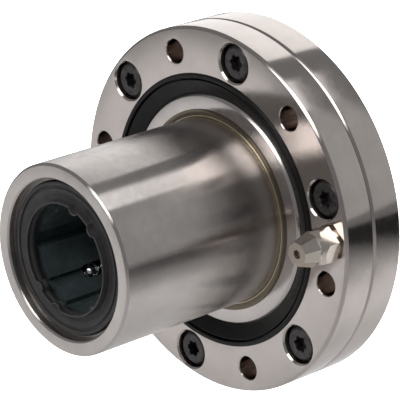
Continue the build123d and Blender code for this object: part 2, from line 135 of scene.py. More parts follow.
# Crossed roller bearing, in millimetres
PITCH_R = 22.3
ROLLERS = 20
RACE_REACH = 2.885
OUTER_BORE_R = 22.7
RIM_CHAMFER = 0.5
SPLIT_CHAMFER = 0.4
INNER_CHAMFER = 0.5
FRONT_SEAT_DEPTH = 2.6
REAR_SEAT_DEPTH = 3.0
SEAL_DEPTH = 2.9
SEAL_RIM_R = 24.95
SEAL_FACE_R = 24.4
SEAL_LIP_GAP = 0.03

# Bead of retaining compound, in millimetres
BEAD_WIDTH = 1.7
BEAD_STEPS = 8
BEAD_SAG = 0.06
RIDGE_WIDTH = 0.48
RIDGE_HEIGHT = 0.22

# Sleeve and wiper seals, in millimetres
SHOULDER_Y = FACE_Y + 0.55
SEAT_STEP = 0.25
SLEEVE_CHAMFER = 0.4
RECESS_R = 14.7
RECESS_DEPTH = 4.0
RECESS_CHAMFER = 0.3
SNAP_NEAR = 1.85
SNAP_FAR = 2.65
SNAP_DEPTH = 0.45
WIPER_BACK_R = 11.5
WIPER_BASE = 2.6
WIPER_GAP = 0.05
RIM_GAP = 0.8
LIP_R = 10.1
OPENING_R = 11.4
OPENING_FADE = 0.9
TONGUE_R = 1.2
TONGUE_AT = 10.45
TONGUE_BLEND = 0.25

# Ball circuits, in millimetres and degrees
LOAD_ANGLES = (45.5, 75.5, 225.5, 255.5)
RETURN_ANGLES = (22.5, 98.5, 202.5, 278.5)
LOAD_PATH_R = 11.3
RETURN_PATH_R = 12.3
BEND_STEPS = 8
BALL_GAP = 0.03


# Sizes and colours that a user may change

def length(name, description, default):
    """A length in metres, given here in millimetres."""
    return FloatProperty(name=name, description=description, default=default * MM, min=0.0,
                         unit="LENGTH", precision=5)


def colour(name, description, default):
    """A linear colour."""
    return FloatVectorProperty(name=name, description=description, default=default, size=3,
                               subtype="COLOR", min=0.0, max=1.0)


class BushingSizes(PropertyGroup):
    """Sizes of the dressed pieces."""

    segments: IntProperty(name="Segments", description="Facets round a turned piece", default=240, min=48)
    edge_round: length("Edge round", "Radius that softens a ground edge", 0.08)
    rubber_round: length("Rubber round", "Radius that softens a moulded edge", 0.14)
    ball: length("Ball", "Diameter of the balls in the circuits", 3.175)
    roller: length("Roller", "Diameter of the crossed rollers", 4.0)
    socket: length("Socket", "Reach of the star socket's points", 1.55)


class BushingColours(PropertyGroup):
    """Colours of the finishes."""

    ring: colour("Rings", "Ground steel of the flange", (0.60, 0.545, 0.515))
    # Painted shade: this darker tone on hole walls stands in for the shade inside the flange's open holes and
    # the nipple's mouth
    shade_painted: colour("Drilled walls", "Walls of the drilled holes", (0.46, 0.40, 0.37))
    sleeve: colour("Sleeve", "Polished steel of the sleeve", (0.650, 0.605, 0.577))
    inner: colour("Inner ring", "Steel of the inner ring", (0.60, 0.56, 0.54))
    oxide: colour("Screws", "Black oxide of the screws", (0.075, 0.069, 0.070))
    rubber: colour("Bearing seals", "Rubber of the bearing seals", (0.010, 0.0095, 0.009))
    wiper: colour("Wiper seals", "Moulded rubber of the wiper seals", (0.058, 0.054, 0.055))
    nipple: colour("Nipple", "Plating of the grease nipple", (0.80, 0.725, 0.65))
    compound: colour("Bead", "Cured retaining compound", (0.165, 0.135, 0.100))
    bead_edge: colour("Bead edge", "Thin bright edge of the bead beside the sleeve", (0.70, 0.60, 0.42))
    retainer: colour("Retainer", "Moulded ball retainer", (0.075, 0.098, 0.100))
    floor: colour("Floor", "Plain floor", (0.93, 0.93, 0.93))
    # Painted shade: a dark card beside the floor for the steel to mirror
    card: colour("Card", "Dark card beside the floor", (0.02, 0.02, 0.02))


class BushingStage(PropertyGroup):
    """Camera and lights."""

    azimuth: FloatProperty(name="Azimuth", description="Camera's turn about the vertical", default=46.739,
                           min=-360.0, max=360.0)
    elevation: FloatProperty(name="Elevation", description="Camera's height angle", default=20.666,
                             min=-90.0, max=90.0)
    distance: length("Distance", "From the camera to the flange face", 491.17)
    ambient: FloatProperty(name="Ambient", description="Strength of the light from all round", default=0.22,
                           min=0.0)
    lens: FloatProperty(name="Lens", description="Focal length on a 36 mm sensor", default=241.13, min=1.0)
    shift_x: FloatProperty(name="Shift X", description="Sideways shift of the frame", default=-0.0285)
    shift_y: FloatProperty(name="Shift Y", description="Upward shift of the frame", default=0.0272)


# Mesh helpers

def new_object(name, mesh):
    """A linked object at the origin."""
    thing = bpy.data.objects.new(name, mesh)
    bpy.context.scene.collection.objects.link(thing)
    return thing


def at(radius, angle, y):
    """A point in metres from a radius, an angle in degrees and a place along the axis."""
    return Vector((radius * cos(radians(angle)), y, radius * sin(radians(angle)))) * MM


def soften(corners, radius):
    """Rounds each corner of a closed section; a corner may carry its own radius as a third value."""
    rounded = []
    count = len(corners)
    for i, corner in enumerate(corners):
        here = Vector(corner[:2])
        before = Vector(corners[i - 1][:2]) - here
        after = Vector(corners[(i + 1) % count][:2]) - here
        own = corner[2] if len(corner) > 2 else radius
        trim = min(own, 0.4 * before.length, 0.4 * after.length)
        if trim <= 0.0 or here.x <= 0.0:
            rounded.append(tuple(here))
            continue
        start = here + before.normalized() * trim
        end = here + after.normalized() * trim
        for step in range(ROUND_STEPS + 1):
            t = step / ROUND_STEPS
            point = start * (1 - t) ** 2 + here * 2 * t * (1 - t) + end * t ** 2
            rounded.append(tuple(point))
    return rounded


def smooth(mesh, angle=28.0):
    """Smooth faces, with the edges sharper than the angle kept crisp."""
    bm = bmesh.new()
    bm.from_mesh(mesh)
    limit = radians(angle)
    for face in bm.faces:
        face.smooth = True
    for edge in bm.edges:
        edge.smooth = len(edge.link_faces) == 2 and edge.calc_face_angle(0.0) < limit
    bm.to_mesh(mesh)
    bm.free()
    return mesh


def turned(name, section, segments, pull=None):
    """A closed section of (radius, y) corners in millimetres, turned about the Y axis.

    A pull changes a radius by the angle, for an opening that isn't round."""
    bm = bmesh.new()
    rings = []
    for radius, y in section:
        if radius < 1e-6:
            rings.append([bm.verts.new((0.0, y * MM, 0.0))] * segments)
            continue
        ring = []
        for step in range(segments):
            turn = 2 * pi * step / segments
            here = pull(radius, turn) if pull else radius
            ring.append(bm.verts.new((here * cos(turn) * MM, y * MM, here * sin(turn) * MM)))
        rings.append(ring)
    for i, ring in enumerate(rings):
        following = rings[(i + 1) % len(rings)]
        for step in range(segments):
            other = (step + 1) % segments
            corners = []
            for vert in (ring[step], ring[other], following[other], following[step]):
                if vert not in corners:
                    corners.append(vert)
            if len(corners) > 2:
                bm.faces.new(corners)
    bmesh.ops.recalc_face_normals(bm, faces=bm.faces)
    mesh = bpy.data.meshes.new(name)
    bm.to_mesh(mesh)
    bm.free()
    return mesh


def moved(mesh, matrix):
    """The mesh after a change of place."""
    mesh.transform(matrix)
    return mesh


def copy_of(node, name, angle=28.0):
    """A welded, smoothly shaded copy of a CAD node's mesh, without its stored normals."""
    source = NODES[node].data
    mesh = bpy.data.meshes.new(name)
    mesh.from_pydata([v.co for v in source.vertices], [], [p.vertices for p in source.polygons])
    bm = bmesh.new()
    bm.from_mesh(mesh)
    bmesh.ops.remove_doubles(bm, verts=bm.verts, dist=0.002 * MM)
    bmesh.ops.dissolve_limit(bm, angle_limit=radians(0.5), verts=bm.verts, edges=bm.edges)
    bm.to_mesh(mesh)
    bm.free()
    return smooth(mesh, angle)


def cut(mesh, cutters, name):
    """The mesh with closed cutters taken out of it."""
    body = new_object(name + "_blank", mesh)
    for i, cutter in enumerate(cutters):
        tool = new_object(f"{name}_cutter_{i}", cutter)
        change = body.modifiers.new("cut", "BOOLEAN")
        change.operation = "DIFFERENCE"
        change.solver = "EXACT"
        change.object = tool
    bpy.context.view_layer.update()
    evaluated = body.evaluated_get(bpy.context.evaluated_depsgraph_get())
    result = bpy.data.meshes.new_from_object(evaluated)
    result.name = name
    for change in body.modifiers:
        bpy.data.objects.remove(change.object)
    bpy.data.objects.remove(body)
    return result


def around(start):
    """Angles of six evenly spaced places in the flange."""
    return [start + 360.0 / FASTENERS * i for i in range(FASTENERS)]


def hole_cutter(name, radius, angle, low, high, low_break=0.0, high_break=0.0):
    """A round cutter on the bolt circle; a break chamfers the mouth that lies inside that end."""
    section = [(0.0, low), (radius, low), (radius, high), (0.0, high)]
    if low_break:
        section[1:2] = [(radius + low_break + OVERCUT, low), (radius, low + OVERCUT + low_break)]
    if high_break:
        section[-2:-1] = [(radius, high - OVERCUT - high_break), (radius + high_break + OVERCUT, high)]
    mesh = turned(name, section, 64)
    return moved(mesh, Matrix.Translation(at(BOLT_CIRCLE_R, angle, 0.0)))


def mark_hole_shade(mesh, places, radius):
    """Marks the hole walls round the given places for painted shade, which stands in for the shade that falls
    inside the holes.
    """
    marks = mesh.attributes.new("shade_painted", "FLOAT", "FACE")
    for face in mesh.polygons:
        away = min(hypot(face.center.x - spot.x, face.center.z - spot.z) for spot in places)
        if away < radius * MM and abs(face.normal.y) < 0.3:
            marks.data[face.index].value = 1.0


def finish_piece(name, mesh, body, slot, node):
    """Links a mesh, gives it its finish, hides the node it stands for, and ties it to its body if it has one.
    """
    mesh.materials.clear()
    mesh.materials.append(finish_of(slot))
    for face in mesh.polygons:
        face.material_index = 0
    piece = new_object(name, mesh)
    if body:
        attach(piece, body)
    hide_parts(node)
    return piece


# Finishes

class Finish:
    """A node material on Object coordinates."""

    def __init__(self, name, base, metallic=0.0, roughness=0.5):
        self.material = bpy.data.materials.new(name)
        self.material.use_nodes = True
        self.tree = self.material.node_tree
        self.shader = self.tree.nodes["Principled BSDF"]
        self.shader.inputs["Base Color"].default_value = (*base, 1.0)
        self.shader.inputs["Metallic"].default_value = metallic
        self.shader.inputs["Roughness"].default_value = roughness
        self.where = self.tree.nodes.new("ShaderNodeTexCoord").outputs["Object"]

    def link(self, output, target):
        """A link between two sockets."""
        self.tree.links.new(output, target)

    def flattened(self):
        """Object coordinates without their part along the axis of rotation."""
        mapping = self.tree.nodes.new("ShaderNodeMapping")
        mapping.inputs["Scale"].default_value = (1.0, 0.0, 1.0)
        self.link(self.where, mapping.inputs["Vector"])
        return mapping.outputs["Vector"]

    def noise(self, scale, detail=3.0):
        """Noise whose scale counts features to the metre."""
        texture = self.tree.nodes.new("ShaderNodeTexNoise")
        texture.inputs["Scale"].default_value = scale
        texture.inputs["Detail"].default_value = detail
        texture.inputs["Roughness"].default_value = 0.6
        self.link(self.where, texture.inputs["Vector"])
        return texture.outputs["Fac"]

    def radius(self):
        """Distance from the axis of rotation, in metres."""
        away = self.tree.nodes.new("ShaderNodeVectorMath")
        away.operation = "LENGTH"
        self.link(self.flattened(), away.inputs[0])
        return away.outputs["Value"]

    def turned_noise(self, scale):
        """Noise that stays the same all round the axis, as marks of turning and grinding do."""
        parts = self.tree.nodes.new("ShaderNodeSeparateXYZ")
        self.link(self.where, parts.inputs["Vector"])
        place = self.tree.nodes.new("ShaderNodeCombineXYZ")
        self.link(self.radius(), place.inputs["X"])
        self.link(parts.outputs["Y"], place.inputs["Y"])
        texture = self.tree.nodes.new("ShaderNodeTexNoise")
        texture.inputs["Scale"].default_value = scale
        texture.inputs["Detail"].default_value = 2.0
        self.link(place.outputs["Vector"], texture.inputs["Vector"])
        return texture.outputs["Fac"]

    def spread(self, value, low, high, start=0.3, end=0.7):
        """A value brought from its middle range to a new one."""
        ranged = self.tree.nodes.new("ShaderNodeMapRange")
        ranged.inputs["From Min"].default_value = start
        ranged.inputs["From Max"].default_value = end
        ranged.inputs["To Min"].default_value = low
        ranged.inputs["To Max"].default_value = high
        self.link(value, ranged.inputs["Value"])
        return ranged.outputs["Result"]

    def rough(self, value, low, high):
        """Roughness that follows a value."""
        self.link(self.spread(value, low, high), self.shader.inputs["Roughness"])

    def tint(self, value, first, second, start=0.3, end=0.7):
        """The base colour between two colours."""
        mix = self.tree.nodes.new("ShaderNodeMix")
        mix.data_type = "RGBA"
        mix.inputs["A"].default_value = (*first, 1.0)
        mix.inputs["B"].default_value = (*second, 1.0)
        self.link(self.spread(value, 0.0, 1.0, start, end), mix.inputs["Factor"])
        self.link(mix.outputs["Result"], self.shader.inputs["Base Color"])

    def brush(self, amount):
        """Draws reflections out along the axis on turned walls, and outwards on turned faces."""
        outwards = self.tree.nodes.new("ShaderNodeVectorMath")
        outwards.operation = "NORMALIZE"
        self.link(self.flattened(), outwards.inputs[0])
        along = self.tree.nodes.new("ShaderNodeVectorMath")
        along.operation = "MULTIPLY_ADD"
        along.inputs[1].default_value = (0.7, 0.7, 0.7)
        along.inputs[2].default_value = (0.0, 1.0, 0.0)
        self.link(outwards.outputs["Vector"], along.inputs[0])
        self.link(along.outputs["Vector"], self.shader.inputs["Tangent"])
        self.shader.inputs["Anisotropic"].default_value = amount

    def bump(self, value, height):
        """Relief of a real height in millimetres."""
        relief = self.tree.nodes.new("ShaderNodeBump")
        relief.inputs["Strength"].default_value = 1.0
        relief.inputs["Distance"].default_value = height * MM
        self.link(value, relief.inputs["Height"])
        if self.shader.inputs["Normal"].is_linked:
            self.link(self.shader.inputs["Normal"].links[0].from_socket, relief.inputs["Normal"])
        self.link(relief.outputs["Normal"], self.shader.inputs["Normal"])


def scaled(base, factor):
    """A colour made darker or lighter."""
    return tuple(min(1.0, c * factor) for c in base)


def ground_metal(name, base, low, high, grain, height, lines, brushed):
    """Metal with a fine grain, cloudy gloss and a slight change of tone.

    Low and high bound the roughness. Grain counts features to the metre. Height and lines are the relief of
    the grain and of turning marks, in millimetres. Brushed is how far reflections are drawn out."""
    finish = Finish(name, base, metallic=1.0)
    finish.tint(finish.noise(160.0, 4.0), scaled(base, 0.93), scaled(base, 1.05))
    finish.rough(finish.noise(700.0, 4.0), low, high)
    finish.bump(finish.noise(grain, 2.0), height)
    if lines:
        finish.bump(finish.turned_noise(9000.0), lines)
    if brushed:
        finish.brush(brushed)
    return finish.material


def paint_hole_shade(material, tone):
    """Paints the marked hole walls with a darker tone, a painted shade."""
    tree = material.node_tree
    shader = tree.nodes["Principled BSDF"]
    mark = tree.nodes.new("ShaderNodeAttribute")
    mark.attribute_name = "shade_painted"
    shade = tree.nodes.new("ShaderNodeMix")
    shade.data_type = "RGBA"
    shade.inputs["B"].default_value = (*tone, 1.0)
    tree.links.new(shader.inputs["Base Color"].links[0].from_socket, shade.inputs["A"])
    tree.links.new(mark.outputs["Fac"], shade.inputs["Factor"])
    tree.links.new(shade.outputs["Result"], shader.inputs["Base Color"])


def make_finishes(colours):
    """All the finishes, made once."""
    # Each row has a slot and what ground_metal takes
    metals = (
        ("ring_steel", "ground_ring_steel", colours.ring, 0.12, 0.18, 5200.0, 0.0010, 0.0, 0.8),
        ("sleeve_steel", "polished_sleeve_steel", colours.sleeve, 0.205, 0.25, 3600.0, 0.0010, 0.0, 1.0),
        ("inner_ring_steel", "turned_inner_steel", colours.inner, 0.12, 0.22, 2600.0, 0.002, 0.003, 0.0),
        ("spring_steel", "dark_spring_steel", (0.30, 0.29, 0.28), 0.3, 0.45, 3000.0, 0.003, 0.0, 0.0),
        ("plate_steel", "hardened_plate_steel", (0.50, 0.49, 0.47), 0.2, 0.32, 3000.0, 0.003, 0.0, 0.0),
        ("ball_steel", "polished_ball_steel", (0.72, 0.72, 0.73), 0.05, 0.10, 800.0, 0.0005, 0.0, 0.0),
        ("nipple_plating", "champagne_plating", colours.nipple, 0.13, 0.22, 2400.0, 0.0012, 0.0, 0.0),
        ("cage_brass", "cage_brass", (0.60, 0.46, 0.24), 0.3, 0.42, 2600.0, 0.003, 0.0, 0.0),
    )
    made = {slot: ground_metal(*look) for slot, *look in metals}
    # Painted shade on the marked hole walls of the rings and of the nipple
    for name in ("ring_steel", "nipple_plating"):
        paint_hole_shade(made[name], colours.shade_painted)

    oxide = Finish("black_oxide", colours.oxide, metallic=0.75)
    oxide.tint(oxide.noise(900.0), scaled(colours.oxide, 0.7), scaled(colours.oxide, 1.6))
    oxide.rough(oxide.noise(1500.0), 0.28, 0.48)
    oxide.bump(oxide.noise(4000.0), 0.006)
    made["black_oxide"] = oxide.material

    rubber = Finish("bearing_seal_rubber", colours.rubber)
    rubber.tint(rubber.noise(500.0), scaled(colours.rubber, 0.8), scaled(colours.rubber, 1.35))
    rubber.shader.inputs["Specular IOR Level"].default_value = 0.25
    rubber.rough(rubber.noise(1200.0), 0.28, 0.42)
    rubber.bump(rubber.noise(5000.0), 0.006)
    made["seal_rubber"] = rubber.material

    wiper = Finish("wiper_seal_rubber", colours.wiper, roughness=0.6)
    wiper.tint(wiper.noise(400.0), scaled(colours.wiper, 0.85), scaled(colours.wiper, 1.2))
    wiper.rough(wiper.noise(1000.0), 0.45, 0.65)
    wiper.bump(wiper.noise(4200.0), 0.010)
    made["wiper_rubber"] = wiper.material

    compound = Finish("retaining_compound", colours.compound, metallic=0.8, roughness=0.2)
    start, end = (SLEEVE_R + 0.25) * MM, (SLEEVE_R + 0.45) * MM
    compound.tint(compound.radius(), colours.bead_edge, colours.compound, start, end)
    compound.rough(compound.noise(900.0), 0.14, 0.26)
    compound.bump(compound.noise(700.0), 0.003)
    made["retaining_compound"] = compound.material

    retainer = Finish("retainer_resin", colours.retainer, roughness=0.2)
    retainer.tint(retainer.noise(300.0), scaled(colours.retainer, 0.8), scaled(colours.retainer, 1.3))
    retainer.rough(retainer.noise(900.0), 0.10, 0.20)
    retainer.bump(retainer.noise(1800.0), 0.004)
    made["retainer_resin"] = retainer.material
    return made


FINISHES = {}


def finish_of(slot):
    """The finish of a slot; all of them are made when the first is asked for."""
    if not FINISHES:
        FINISHES.update(make_finishes(bpy.context.scene.bushing_colours))
    return FINISHES[slot]


# Geometry Nodes trees

def tree_with(name, inputs):
    """An empty geometry tree with a geometry input and named inputs for its sizes."""
    tree = bpy.data.node_groups.new(name, "GeometryNodeTree")
    tree.is_modifier = True
    tree.interface.new_socket("Geometry", in_out="INPUT", socket_type="NodeSocketGeometry")
    sockets = {}
    for label, kind in inputs:
        sockets[label] = tree.interface.new_socket(label, in_out="INPUT", socket_type=kind).identifier
    tree.interface.new_socket("Geometry", in_out="OUTPUT", socket_type="NodeSocketGeometry")
    return tree, sockets


def close_tree(tree, instances, source):
    """Ends a tree in real, smooth geometry with its material."""
    nodes, links = tree.nodes, tree.links
    real = nodes.new("GeometryNodeRealizeInstances")
    dressed = nodes.new("GeometryNodeSetMaterial")
    out = nodes.new("NodeGroupOutput")
    links.new(instances, real.inputs["Geometry"])
    links.new(real.outputs["Geometry"], dressed.inputs["Geometry"])
    links.new(source.outputs["Material"], dressed.inputs["Material"])
    links.new(dressed.outputs["Geometry"], out.inputs["Geometry"])


def round_axis_tree():
    """Copies of one piece set evenly round the axis of rotation."""
    tree, sockets = tree_with("pieces_round_axis", (
        ("Count", "NodeSocketInt"), ("Start", "NodeSocketFloat"), ("Material", "NodeSocketMaterial")))
    nodes, links = tree.nodes, tree.links
    source = nodes.new("NodeGroupInput")
    points = nodes.new("GeometryNodePoints")
    index = nodes.new("GeometryNodeInputIndex")
    step = nodes.new("ShaderNodeMath")
    step.operation = "DIVIDE"
    step.inputs[0].default_value = 2 * pi
    turn = nodes.new("ShaderNodeMath")
    turn.operation = "MULTIPLY_ADD"
    angle = nodes.new("ShaderNodeCombineXYZ")
    place = nodes.new("GeometryNodeInstanceOnPoints")
    links.new(source.outputs["Count"], points.inputs["Count"])
    links.new(source.outputs["Count"], step.inputs[1])
    links.new(index.outputs["Index"], turn.inputs[0])
    links.new(step.outputs["Value"], turn.inputs[1])
    links.new(source.outputs["Start"], turn.inputs[2])
    links.new(turn.outputs["Value"], angle.inputs["Y"])
    links.new(points.outputs["Points"], place.inputs["Points"])
    links.new(source.outputs["Geometry"], place.inputs["Instance"])
    links.new(angle.outputs["Vector"], place.inputs["Rotation"])
    close_tree(tree, place.outputs["Instances"], source)
    return tree, sockets


def circuit_tree():
    """A ball on each point of a circuit."""
    tree, sockets = tree_with("balls_on_circuit", (
        ("Radius", "NodeSocketFloat"), ("Material", "NodeSocketMaterial")))
    nodes, links = tree.nodes, tree.links
    source = nodes.new("NodeGroupInput")
    ball = nodes.new("GeometryNodeMeshUVSphere")
    ball.inputs["Segments"].default_value = 28
    ball.inputs["Rings"].default_value = 16
    rounded = nodes.new("GeometryNodeSetShadeSmooth")
    place = nodes.new("GeometryNodeInstanceOnPoints")
    links.new(source.outputs["Radius"], ball.inputs["Radius"])
    links.new(ball.outputs["Mesh"], rounded.inputs["Geometry"])
    links.new(source.outputs["Geometry"], place.inputs["Points"])
    links.new(rounded.outputs["Geometry"], place.inputs["Instance"])
    close_tree(tree, place.outputs["Instances"], source)
    return tree, sockets


def through_tree(thing, tree, sockets, values, name):
    """The plain mesh that a tree makes of an object, which is removed."""
    change = thing.modifiers.new("tree", "NODES")
    change.node_group = tree
    for label, value in values.items():
        change[sockets[label]] = value
    bpy.context.view_layer.update()
    evaluated = thing.evaluated_get(bpy.context.evaluated_depsgraph_get())
    mesh = bpy.data.meshes.new_from_object(evaluated)
    mesh.name = name
    thing.modifiers.remove(change)
    bpy.data.objects.remove(thing)
    return mesh


def repeat_round(name, mesh, count, start, slot):
    """One mesh repeated evenly round the axis."""
    tree, sockets = round_axis_tree()
    values = {"Count": count, "Start": start, "Material": finish_of(slot)}
    return through_tree(new_object(name + "_one", mesh), tree, sockets, values, name)


# Operators

class BUSHING_OT_outer_rings(Operator):
    """Makes the two ground outer rings with their chamfered holes"""

    bl_idname = "bushing.outer_rings"
    bl_label = "Outer rings"

    def execute(self, context):
        sizes = context.scene.bushing_sizes
        apex = PITCH_R + RACE_REACH
        spots = [at(BOLT_CIRCLE_R, angle, 0.0) for angle in around(HOLE_ANGLE)]
        for name, node, face, inward, seat in (
            ("front_ring", "front_outer_ring", FACE_Y, 1, FRONT_SEAT_DEPTH),
            ("rear_ring", "rear_outer_ring", MOUNT_Y, -1, REAR_SEAT_DEPTH),
        ):
            section = soften([
                (SEAT_R, face),
                (FLANGE_R - RIM_CHAMFER, face),
                (FLANGE_R, face + inward * RIM_CHAMFER),
                (FLANGE_R, SPLIT_Y - inward * SPLIT_CHAMFER),
                (FLANGE_R - SPLIT_CHAMFER, SPLIT_Y),
                (apex, SPLIT_Y, 0.0),
                (OUTER_BORE_R, SPLIT_Y - inward * (apex - OUTER_BORE_R), 0.0),
                (OUTER_BORE_R, face + inward * seat, 0.0),
                (SEAT_R, face + inward * seat, 0.0),
            ], sizes.edge_round / MM)
            blank = turned(name, section, sizes.segments)
            cutters = self.front_cutters() if inward > 0 else self.rear_cutters()
            mesh = smooth(cut(blank, cutters, name))
            # Painted shade on the walls of the open holes
            mark_hole_shade(mesh, spots, HOLE_R + 0.05)
            finish_piece(name, mesh, "flange", "ring_steel", node)
        return {"FINISHED"}

    def front_cutters(self):
        """The open holes, the counterbored screw holes and the nipple's hole."""
        low, high = FACE_Y - OVERCUT, SPLIT_Y + OVERCUT
        cutters = []
        for angle in around(HOLE_ANGLE):
            cutters.append(hole_cutter("hole", HOLE_R, angle, low, high, FRONT_BREAK))
        for angle in around(SCREW_ANGLE):
            cutters.append(hole_cutter("sink", SINK_R, angle, low, FACE_Y + SINK_DEPTH, SINK_BREAK))
            cutters.append(hole_cutter("shank", SHANK_HOLE_R, angle, FACE_Y + HEAD_HEIGHT, high))
        cutters.append(hole_cutter("nipple", NIPPLE_HOLE_R, NIPPLE_ANGLE, low, FACE_Y + NIPPLE_HOLE_DEPTH))
        return cutters

    def rear_cutters(self):
        """The open holes and the tapped holes."""
        low, high = SPLIT_Y - OVERCUT, MOUNT_Y + OVERCUT
        cutters = []
        for angle in around(HOLE_ANGLE):
            cutters.append(hole_cutter("hole", HOLE_R, angle, low, high, high_break=REAR_BREAK))
        for angle in around(SCREW_ANGLE):
            cutters.append(hole_cutter("tapped", TAPPED_R, angle, low, high))
        return cutters


class BUSHING_OT_screws(Operator):
    """Makes the six sunk star-socket screws"""

    bl_idname = "bushing.screws"
    bl_label = "Screws"

    def execute(self, context):
        top = front("torx_screws")
        under = top + HEAD_HEIGHT
        tip = back("torx_screws")
        socket_r = context.scene.bushing_sizes.socket / MM
        section = soften([
            (0.0, top + SOCKET_DEPTH + SOCKET_CONE),
            (socket_r, top + SOCKET_DEPTH, 0.0),
            (socket_r, top + SOCKET_BREAK, 0.0),
            (socket_r + SOCKET_BREAK, top, 0.0),
            (HEAD_FLAT_R - 0.25, top, 0.0),
            (HEAD_FLAT_R, top, 0.10),
            (HEAD_R, top + HEAD_SLOPE, 0.45),
            (HEAD_R, under, 0.1),
            (THREAD_R, under, 0.1),
            (THREAD_R, tip - THREAD_CHAMFER, 0.0),
            (THREAD_R - THREAD_CHAMFER, tip, 0.0),
            (0.0, tip),
        ], 0.1)
        mesh = smooth(turned("screw", section, 72, lambda radius, turn: self.star(radius, turn, socket_r)))
        moved(mesh, Matrix.Translation(at(BOLT_CIRCLE_R, SCREW_ANGLE, 0.0)))
        mesh = repeat_round("screws", mesh, FASTENERS, 0.0, "black_oxide")
        finish_piece("screws", mesh, "flange", "black_oxide", "torx_screws")
        return {"FINISHED"}

    def star(self, radius, turn, socket_r):
        """Draws the socket's corners in to a six-lobed star, and leaves the rest of the screw round."""
        if radius > socket_r + SOCKET_BREAK + 0.01:
            return radius
        wave = 0.5 + 0.5 * cos(6 * turn)
        return radius * (0.75 + 0.25 * wave ** 0.7)


class BUSHING_OT_bearing_seals(Operator):
    """Makes the rubber seals of the bearing"""

    bl_idname = "bushing.bearing_seals"
    bl_label = "Bearing seals"

    def execute(self, context):
        sizes = context.scene.bushing_sizes
        profile = soften([
            (SEAT_R, SEAL_DEPTH, 0.05),
            (SEAT_R, 0.15, 0.05),
            (SEAT_R - 0.15, 0.0, 0.08),
            (SEAL_RIM_R, 0.0),
            (SEAL_RIM_R - 0.1, 0.9),
            (SEAL_FACE_R + 0.25, 0.9),
            (SEAL_FACE_R + 0.15, 0.3),
            (SEAL_FACE_R, 0.3),
            (INNER_R + SEAL_LIP_GAP, 1.5),
            (INNER_R + SEAL_LIP_GAP, 2.3),
            (SEAL_FACE_R, SEAL_DEPTH),
        ], sizes.rubber_round / MM)
        for name, node, top, inward in (
            ("front_seal", "front_bearing_seal", front("front_bearing_seal"), 1),
            ("rear_seal", "rear_bearing_seal", back("rear_bearing_seal"), -1),
        ):
            section = [(radius, top + inward * depth) for radius, depth in profile]
            mesh = smooth(turned(name, section, sizes.segments))
            finish_piece(name, mesh, "flange", "seal_rubber", node)
        return {"FINISHED"}


class BUSHING_OT_inner_ring(Operator):
    """Makes the inner ring with its V raceway, and the beads of retaining compound"""

    bl_idname = "bushing.inner_ring"
    bl_label = "Inner ring and beads"

    def execute(self, context):
        sizes = context.scene.bushing_sizes
        bore = clear_reach("bearing_inner_ring")
        apex = PITCH_R - RACE_REACH
        race = INNER_R - apex
        section = soften([
            (bore, INNER_FRONT_Y + BEAD_WIDTH),
            (bore + BEAD_WIDTH, INNER_FRONT_Y),
            (INNER_R - INNER_CHAMFER, INNER_FRONT_Y),
            (INNER_R, INNER_FRONT_Y + INNER_CHAMFER),
            (INNER_R, SPLIT_Y - race),
            (apex, SPLIT_Y, 0.0),
            (INNER_R, SPLIT_Y + race),
            (INNER_R, INNER_REAR_Y - INNER_CHAMFER),
            (INNER_R - INNER_CHAMFER, INNER_REAR_Y),
            (bore + BEAD_WIDTH, INNER_REAR_Y),
            (bore, INNER_REAR_Y - BEAD_WIDTH),
        ], sizes.edge_round / MM)
        mesh = smooth(turned("inner_ring", section, sizes.segments))
        finish_piece("inner_ring", mesh, "sleeve", "inner_ring_steel", "bearing_inner_ring")

        edge_r = reach("front_bonding_bead")
        width = edge_r - bore
        start_r = SLEEVE_R + 0.01
        start_y = front("front_bonding_bead") + 0.02
        foot_r = start_r + RIDGE_WIDTH
        parts = [step / BEAD_STEPS for step in range(1, BEAD_STEPS + 1)]
        section = [(bore, INNER_FRONT_Y + width), (bore, start_y + 0.01), (start_r, start_y)]
        for t in parts:
            section.append((start_r + RIDGE_WIDTH * t, start_y - RIDGE_HEIGHT * sin(pi * t)))
        for t in parts:
            level = start_y + (INNER_FRONT_Y - start_y) * t
            section.append((foot_r + (edge_r - foot_r) * t, level + BEAD_SAG * sin(pi * t)))
        mesh = smooth(turned("front_bead", section, sizes.segments), 60.0)
        finish_piece("front_bead", mesh, "sleeve", "retaining_compound", "front_bonding_bead")

        rear_y = back("rear_bonding_bead")
        section = [(bore, rear_y - width), (bore, rear_y), (bore + width, rear_y)]
        mesh = smooth(turned("rear_bead", section, sizes.segments))
        finish_piece("rear_bead", mesh, "sleeve", "retaining_compound", "rear_bonding_bead")
        return {"FINISHED"}


class BUSHING_OT_sleeve(Operator):
    """Makes the polished sleeve with its recessed ends"""

    bl_idname = "bushing.sleeve"
    bl_label = "Sleeve"

    def execute(self, context):
        sizes = context.scene.bushing_sizes
        seat_r = SLEEVE_R - SEAT_STEP
        corners = []
        for end, inward, outer in ((NOSE_Y, 1, SLEEVE_R), (REAR_Y, -1, seat_r)):
            near, far = end + inward * SNAP_NEAR, end + inward * SNAP_FAR
            shelf = end + inward * RECESS_DEPTH
            half = [
                (outer, end + inward * SLEEVE_CHAMFER),
                (outer - SLEEVE_CHAMFER, end),
                (RECESS_R + RECESS_CHAMFER, end),
                (RECESS_R, end + inward * RECESS_CHAMFER),
                (RECESS_R, near, 0.03),
                (RECESS_R + SNAP_DEPTH, near, 0.03),
                (RECESS_R + SNAP_DEPTH, far, 0.03),
                (RECESS_R, far, 0.03),
                (RECESS_R, shelf, 0.05),
                (SLEEVE_BORE_R, shelf, 0.05),
            ]
            corners += half if inward > 0 else half[::-1]
        corners += [(seat_r, SHOULDER_Y, 0.05), (SLEEVE_R, SHOULDER_Y, 0.05)]
        section = soften(corners, sizes.edge_round / MM)
        mesh = smooth(turned("sleeve_tube", section, sizes.segments))
        finish_piece("sleeve_tube", mesh, "sleeve", "sleeve_steel", "sleeve")
        return {"FINISHED"}


